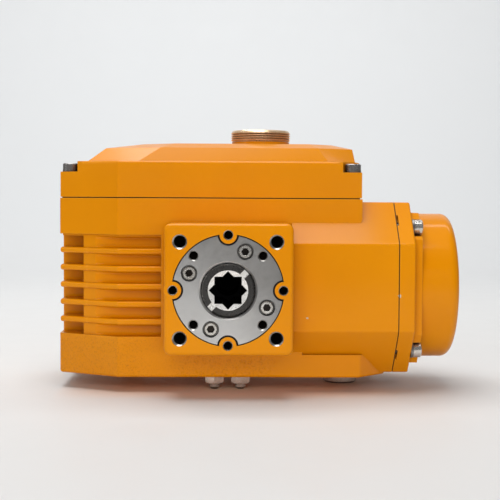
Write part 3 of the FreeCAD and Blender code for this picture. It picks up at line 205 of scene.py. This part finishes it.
def linear(red, green, blue):
    """Linear light, 0 to 1, with full alpha."""
    return (red, green, blue, 1.0)


# ---- painted castings ----

PAINT_CHIPS = (   # the middle and the radius of each
    ((0.0418, 0.0173, -0.0158), 0.00055),
    ((0.0905, 0.0175, -0.0040), 0.0008),
    ((0.0905, 0.0262, -0.0360), 0.0006),
)
CHIP_RAGGEDNESS = 1400


def chip(graph, centre, radius):
    """1 inside a ragged patch about a point on the surface, 0 outside."""
    distance = graph.length(*[graph.minus(axis, middle) for axis, middle in zip(graph.split(), centre)])
    wander = graph.times(graph.minus(graph.noise(CHIP_RAGGEDNESS, 3, 0.7), 0.5), radius * 2.2)
    return graph.ramp(graph.plus(distance, wander), radius * 0.9, radius * 1.05, 1.0, 0.0)


def rough_places(graph):
    """The coarse lower left of the gear housing and its pitted strip under the pad, 1 inside each."""
    coarse_right, coarse_top = -40 * MM, -27 * MM
    strip_left, strip_right, strip_top = -32.5 * MM, 24 * MM, -34.5 * MM
    x, _, z = graph.split()
    low_left = graph.times(graph.below(x, coarse_right, 20 * MM), graph.below(z, coarse_top, 6 * MM))
    under_pad = graph.times(graph.above(x, strip_left, 15 * MM), graph.below(x, strip_right, 12 * MM),
                            graph.below(z, strip_top, 3 * MM))
    return low_left, under_pad


def casting_colour(graph, chipped, stained):
    """Paint with cloudy tones, dust, painted shade in the creases, painted highlights along the ridges,
    specks, bare chips and stains.
    """
    tone = graph.blend(graph.ramp(graph.noise(18, 4), 0.35, 0.68), srgb(214, 131, 0), srgb(220, 137, 0))
    dusty = graph.ramp(graph.noise(55, 6, 0.65), 0.5, 0.75, 0.0, 0.12)
    tone = graph.blend(dusty, tone, srgb(207, 128, 8))
    # painted shade: the paint is darker towards the bottom of creases
    crease = graph.ramp(graph.creases(0.004), 0.35, 0.95, 0.5, 0.0)
    tone = graph.blend(crease, tone, srgb(158, 84, 2))
    # painted highlight: the paint is lighter along the outer edges and ridges
    ridge_highlight = graph.ramp(graph.edges(0.0012), 0.25, 0.75, 0.0, 0.5)
    tone = graph.blend(ridge_highlight, tone, srgb(238, 168, 60))
    speck = graph.ramp(graph.cells(170), 0.0, 0.045, 1.0, 0.0)
    sparse = graph.ramp(graph.noise(37, 1), 0.62, 0.66)
    tone = graph.blend(graph.times(speck, sparse), tone, srgb(96, 62, 22))
    tone = graph.blend(chipped, tone, srgb(196, 184, 168))
    return graph.blend(stained, tone, srgb(150, 78, 2))


def orange_casting():
    """Glossy paint over cast metal, coarse at the lower left and pitted under the pad."""
    graph = Graph("orange_casting")
    low_left, under_pad = rough_places(graph)
    chipped = graph.largest(*[chip(graph, centre, radius) for centre, radius in PAINT_CHIPS])
    grain = graph.noise(900, 4, 0.7)
    stained = graph.times(graph.largest(low_left, under_pad), graph.ramp(grain, 0.5, 0.3, 0.0, 0.4))
    orange_peel = graph.noise(520, 2, 0.5)
    fine = graph.noise(1500, 3, 0.6)
    rough_cast = graph.times(grain, graph.ramp(low_left, 0.0, 1.0, 0.05, 1.0))
    pitted = graph.times(graph.ramp(graph.cells(420), 0.05, 0.45), graph.ramp(under_pad, 0.0, 1.0, 0.0, 0.8))
    normal = graph.soft_edges(0.0007)
    for height, distance, strength in (
            (orange_peel, 0.00012, 0.4), (fine, 0.00003, 0.35), (rough_cast, 0.0011, 0.7),
            (pitted, 0.0008, 0.6), (chipped, 0.0002, -0.7)):
        normal = graph.bump(height, distance, strength, normal)
    graph.set(Base_Color=casting_colour(graph, chipped, stained), Normal=normal,
              Roughness=graph.ramp(graph.noise(90, 4), 0.3, 0.7, 0.32, 0.44),
              Coat_Weight=0.36, Coat_Roughness=0.12, Specular_IOR_Level=0.05)
    return graph.material


# ---- the flange's bare metal ----

def turning_marks(graph, pitch):
    """Rings about the output axis: a height that changes with the distance from it."""
    _, y, _ = graph.split()
    vector = graph.join(graph.times(graph.radius(), 1.0 / pitch), graph.times(y, 12.0), 0.0)
    return graph.noise(1.0, 2, 0.6, vector)


def drive_sleeve():
    """Bright lead-in and slot, an annular face painted dark as painted shade with a pale rim, and a bore
    painted black as painted shade.
    """
    graph = Graph("drive_sleeve")
    lead_in_round, lead_in_depth = 10.3 * MM, 2.0 * MM
    slot_inner, slot_outer, slot_front, slot_floor = 10.0 * MM, 13.475 * MM, 1.3 * MM, 2.2 * MM
    face_inner, face_outer = 10.2 * MM, 13.2 * MM
    dark_round, dark_depth = 13.45 * MM, 2.45 * MM
    radius = graph.radius()
    _, y, _ = graph.split()
    lead_in = graph.times(graph.below(radius, lead_in_round, 0.1 * MM),
                          graph.below(y, lead_in_depth, 0.2 * MM))
    slot = graph.times(graph.between(y, slot_front, slot_floor, 0.2 * MM),
                       graph.above(radius, slot_inner, 0.2 * MM), graph.below(radius, slot_outer, 0.05 * MM))
    bright = graph.largest(lead_in, slot)
    # painted shade: the annular end face is painted darker than the rest of the sleeve
    face = graph.between(radius, face_inner, face_outer, 0.2 * MM)
    # painted shade: the bore is black, dull and almost unreflective beyond a depth
    bore = graph.times(graph.below(radius, dark_round, 0.1 * MM), graph.above(y, dark_depth, 0.7 * MM))
    smudge = graph.noise(300, 4, 0.6, distortion=0.4)
    tone = graph.blend(graph.ramp(smudge, 0.35, 0.7), linear(0.30, 0.29, 0.28), linear(0.20, 0.195, 0.19))
    tone = graph.blend(face, tone, linear(0.115, 0.11, 0.105))
    tone = graph.blend(bright, tone, linear(0.86, 0.84, 0.80))
    tone = graph.blend(bore, tone, linear(0.006, 0.006, 0.006))
    graph.set(Base_Color=tone, Metallic=graph.minus(1.0, graph.largest(graph.times(bright, 0.6), bore)),
              Roughness=graph.plus(graph.ramp(smudge, 0.3, 0.7, 0.22, 0.36), graph.times(bore, 0.3)),
              Specular_IOR_Level=graph.ramp(bore, 0.0, 1.0, 0.5, 0.05),
              Normal=graph.bump(turning_marks(graph, 0.25 * MM), 0.00004, 0.5))
    return graph.material


def lit_alloy(graph, tone):
    """The plate's painted sheen towards the lower left, painted shade on its right side and in its creases,
    and the rim of its bore: a darker chamfer with a painted highlight at the upper left.
    """
    chamfer_inner, chamfer_outer = 14.125 * MM, 15.075 * MM
    x, _, z = graph.split()
    # painted sheen: the plate is lighter towards the lower left
    towards_foot = graph.plus(graph.times(x, -0.55), graph.times(z, -0.8))
    wavering = graph.plus(towards_foot, graph.times(graph.noise(60, 2), 0.006))
    sheen = graph.ramp(wavering, -12 * MM, 20 * MM)
    tone = graph.blend(graph.times(sheen, 0.75), tone, linear(0.92, 0.91, 0.89))
    # painted shade: the plate is darker towards its right side
    tone = graph.blend(graph.ramp(x, 8 * MM, 28 * MM, 0.0, 0.35), tone, linear(0.22, 0.21, 0.20))
    # painted shade: the plate is darker in its creases
    crease = graph.ramp(graph.creases(0.002), 0.4, 0.95, 0.5, 0.0)
    tone = graph.blend(crease, tone, linear(0.10, 0.095, 0.09))
    chamfer = graph.between(graph.radius(), chamfer_inner, chamfer_outer, 0.15 * MM)
    # painted highlight: the upper left of the bore's chamfer is painted near white
    upper_left_glint = graph.ramp(graph.minus(z, x), -4 * MM, 12 * MM)
    tone = graph.blend(chamfer, tone, linear(0.26, 0.25, 0.24))
    return graph.blend(graph.times(chamfer, upper_left_glint), tone, linear(0.95, 0.93, 0.90))


def machined_alloy():
    """The turned retainer plate, with rings, smudges and a few long scratches."""
    graph = Graph("machined_alloy")
    rings = turning_marks(graph, 0.35 * MM)
    x, y, z = graph.split()
    scratch = graph.noise(260, 2, 0.4, graph.join(x, y, graph.times(z, 9.0)))
    smudge = graph.noise(120, 5, 0.6, distortion=0.6)
    tone = graph.blend(graph.ramp(smudge, 0.4, 0.7), linear(0.56, 0.545, 0.525), linear(0.45, 0.435, 0.415))
    roughness = graph.plus(graph.ramp(smudge, 0.3, 0.75, 0.26, 0.40), graph.ramp(rings, 0.3, 0.7, 0.0, 0.1))
    normal = graph.bump(rings, 0.00004, 0.5)
    normal = graph.bump(graph.ramp(scratch, 0.62, 0.7), 0.00003, 0.5, normal)
    graph.set(Base_Color=lit_alloy(graph, tone), Metallic=0.88, Roughness=roughness, Normal=normal,
              Anisotropic=0.5)
    return graph.material


def tapped_bore():
    """Bare metal at the mouth, and painted shade behind it that turns the bore near black, with an oily
    mottle.
    """
    graph = Graph("tapped_bore")
    _, y, _ = graph.split()
    oil = graph.noise(700, 4, 0.6)
    bare = graph.blend(oil, linear(0.80, 0.77, 0.72), linear(0.60, 0.57, 0.52))
    # painted shade: the bore is near black beyond its mouth
    dark = graph.blend(oil, linear(0.016, 0.012, 0.010), linear(0.006, 0.005, 0.004))
    depth = graph.ramp(y, 0.0005, 0.0008)
    graph.set(Base_Color=graph.blend(depth, bare, dark), Metallic=graph.ramp(depth, 0.0, 1.0, 1.0, 0.35),
              Roughness=graph.ramp(oil, 0.3, 0.7, 0.28, 0.45), Specular_IOR_Level=0.1,
              Normal=graph.bump(oil, 0.00002, 0.4))
    return graph.material


# ---- other metals, plastics and glass ----

def metal(name, light, dark, roughness, scale=300.0, hollow=0.0015, shade_depth=None):
    """Two tones, uneven gloss, fine marks, painted shade in hollows, and black painted shade beyond a depth
    along +Y if given.
    """
    graph = Graph(name)
    smudge = graph.noise(scale, 4, 0.6, distortion=0.4)
    fine = graph.noise(scale * 9, 2, 0.5)
    tone = graph.blend(graph.ramp(smudge, 0.35, 0.7), linear(*light), linear(*dark))
    # painted shade: the metal is darker towards the bottom of hollows
    crease = graph.ramp(graph.creases(hollow), 0.3, 0.85, 0.92, 0.0)
    tone = graph.blend(crease, tone, linear(dark[0] * 0.12, dark[1] * 0.09, dark[2] * 0.07))
    # painted shade: black beyond the given depth along +Y, as in the screws' hex sockets
    if shade_depth is not None:
        _, y, _ = graph.split()
        tone = graph.blend(graph.ramp(y, shade_depth, shade_depth + 0.0004), tone, linear(0.03, 0.024, 0.02))
    graph.set(Base_Color=tone, Metallic=0.8, Roughness=graph.ramp(smudge, 0.3, 0.7, *roughness),
              Normal=graph.bump(fine, 0.00003, 0.5, graph.soft_edges(0.00025)))
    return graph.material


def plastic(name, light, dark, roughness):
    """Two near tones and a moulded grain."""
    graph = Graph(name)
    cloud = graph.noise(60, 3)
    grain = graph.noise(700, 3, 0.6)
    graph.set(Base_Color=graph.blend(graph.ramp(cloud, 0.35, 0.7), light, dark),
              Roughness=graph.ramp(grain, 0.3, 0.7, *roughness), Normal=graph.bump(grain, 0.00006, 0.4))
    return graph.material


def copper_winding():
    """Varnished wire, one turn above the other."""
    graph = Graph("copper_winding")
    wire = 0.7 * MM
    _, _, z = graph.split()
    turns = graph.math("SINE", graph.times(z, 2 * math.pi / wire))
    # painted light: each turn is lighter at its crest and darker towards the grooves between turns
    tone = graph.blend(graph.ramp(turns, -1.0, 1.0), linear(0.30, 0.08, 0.02), linear(0.62, 0.22, 0.07))
    graph.set(Base_Color=tone, Metallic=0.8, Roughness=0.32, Normal=graph.bump(turns, 0.0002, 0.8),
              Coat_Weight=0.5)
    return graph.material


def clear_window():
    """Clear plastic with a thin uneven film."""
    graph = Graph("clear_window")
    film = graph.noise(200, 4)
    graph.set(Base_Color=linear(0.92, 0.96, 0.95), Roughness=graph.ramp(film, 0.3, 0.7, 0.02, 0.08),
              IOR=1.49, Transmission_Weight=1.0, Normal=graph.bump(film, 0.00002, 0.2))
    return graph.material


METALS = {
    "bright_steel": dict(light=(0.66, 0.65, 0.62), dark=(0.42, 0.41, 0.40), roughness=(0.16, 0.30),
                         hollow=0.0026),
    "zinc_steel": dict(light=(0.80, 0.77, 0.72), dark=(0.56, 0.52, 0.46), roughness=(0.10, 0.22),
                       hollow=0.003),
    "dark_steel": dict(light=(0.36, 0.345, 0.33), dark=(0.19, 0.18, 0.17), roughness=(0.22, 0.40),
                       hollow=0.003),
    "spring_steel": dict(light=(0.34, 0.33, 0.32), dark=(0.22, 0.21, 0.20), roughness=(0.30, 0.45)),
    "gear_steel": dict(light=(0.42, 0.42, 0.43), dark=(0.28, 0.28, 0.29), roughness=(0.22, 0.40)),
    "sheet_steel": dict(light=(0.58, 0.57, 0.55), dark=(0.44, 0.44, 0.42), roughness=(0.28, 0.46),
                        scale=90.0),
    "bronze": dict(light=(0.60, 0.36, 0.13), dark=(0.42, 0.23, 0.08), roughness=(0.20, 0.38)),
    "collar_brass": dict(light=(0.88, 0.64, 0.40), dark=(0.70, 0.47, 0.28), roughness=(0.25, 0.42),
                         scale=500.0, hollow=0.0006),
}
# the flange screws' hex sockets are painted black beyond a depth, as painted shade
FLANGE_SCREWS = dict(light=(0.82, 0.79, 0.74), dark=(0.60, 0.56, 0.50), roughness=(0.12, 0.24),
                     shade_depth=1.2 * MM)
PLASTICS = {
    "black_rubber": dict(light=linear(0.006, 0.006, 0.006), dark=linear(0.012, 0.011, 0.010),
                         roughness=(0.60, 0.80)),
    "black_plastic": dict(light=linear(0.025, 0.025, 0.027), dark=linear(0.040, 0.040, 0.042),
                          roughness=(0.35, 0.50)),
    "yellow_plastic": dict(light=srgb(232, 190, 20), dark=srgb(220, 172, 12), roughness=(0.22, 0.32)),
    "grey_plastic": dict(light=srgb(150, 152, 155), dark=srgb(132, 134, 138), roughness=(0.35, 0.50)),
}


def dress_cad_nodes():
    """Each CAD node gets its slot's material, and two of them a finish of their own."""
    finish_of_slot = {
        "orange_casting": orange_casting(), "machined_alloy": machined_alloy(),
        "copper_winding": copper_winding(), "clear_window": clear_window(),
    }
    finish_of_slot.update({slot: metal(slot, **look) for slot, look in METALS.items()})
    finish_of_slot.update({slot: plastic(slot, **look) for slot, look in PLASTICS.items()})
    own_finish = {"output_sleeve": drive_sleeve(), "retainer_screws": metal("flange_screws", **FLANGE_SCREWS)}
    for name, node in NODES.items():
        node.data.materials.clear()
        node.data.materials.append(own_finish.get(name, finish_of_slot[SLOT_OF[name]]))


# ---- threads in the tapped holes ----

THREAD_SIDES = 36
ROWS_PER_TURN = 6
THREAD_HEIGHT = 0.45   # in pitches
CONE_WAIST, CONE_DEPTH = 0.75, 0.4   # of the drill's tip, in radii
TIP_RADIUS = 0.02 * MM


def thread_rows(mouth, end, radius, pitch, chamfer):
    """Rows of (depth, radius, thread height) from the bare chamfer to the drilled cone."""
    rows = [(mouth, radius + chamfer, 0.0), (mouth + chamfer, radius, 0.0)]
    step = pitch / ROWS_PER_TURN
    count = int((end - mouth - chamfer) / step)
    for number in range(1, count + 1):
        rows.append((mouth + chamfer + step * number, radius, pitch * THREAD_HEIGHT))
    return rows + [(end, radius * CONE_WAIST, 0.0), (end + radius * CONE_DEPTH, TIP_RADIUS, 0.0)]


def add_bore(points, faces, centre, rows, pitch):
    """One tapped bore along +Y about a centre in the XZ plane."""
    first = len(points)
    for depth, radius, height in rows:
        for side in range(THREAD_SIDES):
            turn = side / THREAD_SIDES
            wave = abs(2 * ((depth / pitch - turn) % 1.0) - 1)
            reach = radius - height * wave
            angle = 2 * math.pi * turn
            points.append((centre[0] + reach * math.cos(angle), depth, centre[1] + reach * math.sin(angle)))
    for row in range(len(rows) - 1):
        for side in range(THREAD_SIDES):
            after = (side + 1) % THREAD_SIDES
            near, far = first + row * THREAD_SIDES, first + (row + 1) * THREAD_SIDES
            faces.append((near + side, near + after, far + after, far + side))


def around(circle, first_angle):
    """Four centres a quarter turn apart on a circle about the output axis."""
    angles = [math.radians(first_angle + 90 * number) for number in range(4)]
    return [(circle / 2 * math.cos(angle), circle / 2 * math.sin(angle)) for angle in angles]


def add_object(name, points, faces, material):
    """A smooth-shaded mesh object in the scene."""
    mesh = bpy.data.meshes.new(name)
    mesh.from_pydata(points, [], faces)
    mesh.shade_smooth()
    mesh.materials.append(material)
    thing = bpy.data.objects.new(name, mesh)
    bpy.context.scene.collection.objects.link(thing)
    return thing


def tapped_bores():
    """The threads of the four outer holes, the four lugs and the retainer plate's inner four."""
    points, faces = [], []
    for mount, first_angle, mouth, end, gap, pitch, chamfer in (
            ("large_bolt_circle", 45, 0.03 * MM, 13.5 * MM, 0.04 * MM, 1.25 * MM, 0.45 * MM),
            ("lug_bolt_circle", 0, 0.03 * MM, 11.5 * MM, 0.05 * MM, 1.0 * MM, 0.02 * MM),
            ("small_bolt_circle", 45, 0.3 * MM, 6.6 * MM, 0.05 * MM, 1.0 * MM, 0.02 * MM)):
        radius = MOUNTS[mount]["hole_r_mm"] * MM - gap
        rows = thread_rows(mouth, end, radius, pitch, chamfer)
        for centre in around(MOUNTS[mount]["pcd_mm"] * MM, first_angle):
            add_bore(points, faces, centre, rows, pitch)
    piece = add_object("tapped_bores", points, faces, tapped_bore())
    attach(piece, "body")


# ---- studio ----

def studio_paper():
    """Pale paper with a painted warm bounce light from the paint, near and under the body."""
    graph = Graph("studio_paper")
    x, y, _ = graph.split()
    tone = graph.blend(graph.ramp(y, 0.2, 1.2), linear(0.70, 0.692, 0.68), linear(0.72, 0.73, 0.735))
    # painted bounce light: a warm orange tone under and just around the body
    bounce_under_body = graph.times(graph.ramp(graph.math("ABSOLUTE", x), 92 * MM, 55 * MM),
                             graph.ramp(y, 10 * MM, 44 * MM), graph.ramp(y, 125 * MM, 90 * MM))
    tone = graph.blend(bounce_under_body, tone, linear(0.88, 0.58, 0.38))
    graph.set(Base_Color=tone, Roughness=graph.ramp(graph.noise(40, 3), 0.3, 0.7, 0.55, 0.65))
    return graph.material


def studio():
    """A pale floor that curves up into a backdrop, as one strip of mesh."""
    front, back, half_width, height = -0.7, 1.5, 3.0, 2.2
    bend, bend_steps = 0.6, 12
    profile = [(front, FLOOR)]
    for step in range(bend_steps + 1):
        angle = math.pi / 2 * step / bend_steps
        profile.append((back - bend + bend * math.sin(angle), FLOOR + bend - bend * math.cos(angle)))
    profile.append((back, FLOOR + height))
    points = [(side * half_width, y, z) for y, z in profile for side in (-1, 1)]
    faces = [(2 * row, 2 * row + 1, 2 * row + 3, 2 * row + 2) for row in range(len(profile) - 1)]
    add_object("studio_floor", points, faces, studio_paper())


def area_light(name, spot, target, width, height, watts, mirrored=True):
    """A rectangular soft light; one that isn't mirrored lights surfaces but shows in none of them."""
    light = bpy.data.lights.new(name, "AREA")
    light.shape = "RECTANGLE"
    light.size = width
    light.size_y = height
    light.energy = watts
    lamp = bpy.data.objects.new(name, light)
    lamp.location = spot
    lamp.rotation_euler = (Vector(target) - Vector(spot)).to_track_quat("-Z", "Y").to_euler()
    lamp.visible_glossy = mirrored
    bpy.context.scene.collection.objects.link(lamp)


def lights():
    body, foot, backdrop = (0.0, 0.05, 0.0), (0.0, 0.0, -0.05), (0.0, 1.5, 0.5)
    area_light("overhead", (-0.1, 0.03, 1.0), body, width=1.1, height=0.6, watts=9.8)
    area_light("front_key", (-0.1, -1.3, 0.5), body, width=1.3, height=0.4, watts=6.4, mirrored=False)
    area_light("front_low", (0.1, -1.2, 0.06), foot, width=1.7, height=0.16, watts=6.4, mirrored=False)
    area_light("left_side", (-1.2, -0.35, 0.5), body, width=0.5, height=0.8, watts=1.2)
    area_light("backdrop_wash", (0.0, 0.6, 1.3), backdrop, width=2.2, height=0.4, watts=14.5)


def studio_air():
    """A faint cool light from all round."""
    world = bpy.data.worlds.new("studio_air")
    world.use_nodes = True
    background = world.node_tree.nodes["Background"]
    background.inputs["Color"].default_value = linear(0.93, 0.96, 1.0)
    background.inputs["Strength"].default_value = 0.10
    bpy.context.scene.world = world


def camera():
    """At the height of the cover's lower edge, in front of the output axis, 0.6 m from the flange."""
    lens = bpy.data.cameras.new("studio_camera")
    lens.sensor_width = 36.0
    lens.lens = 83.16
    eye = bpy.data.objects.new("studio_camera", lens)
    eye.location = (-0.0013, -0.587, 0.0468)
    down, right, roll = math.radians(2.539), math.radians(1.208), math.radians(0.31)
    turn = Euler((math.pi / 2 - down, 0.0, -right)).to_matrix() @ Euler((0.0, 0.0, roll)).to_matrix()
    eye.rotation_euler = turn.to_euler()
    bpy.context.scene.collection.objects.link(eye)
    bpy.context.scene.camera = eye
    bpy.context.scene.view_settings.view_transform = "Standard"


camera()
studio()
lights()
studio_air()
dress_cad_nodes()
tapped_bores()
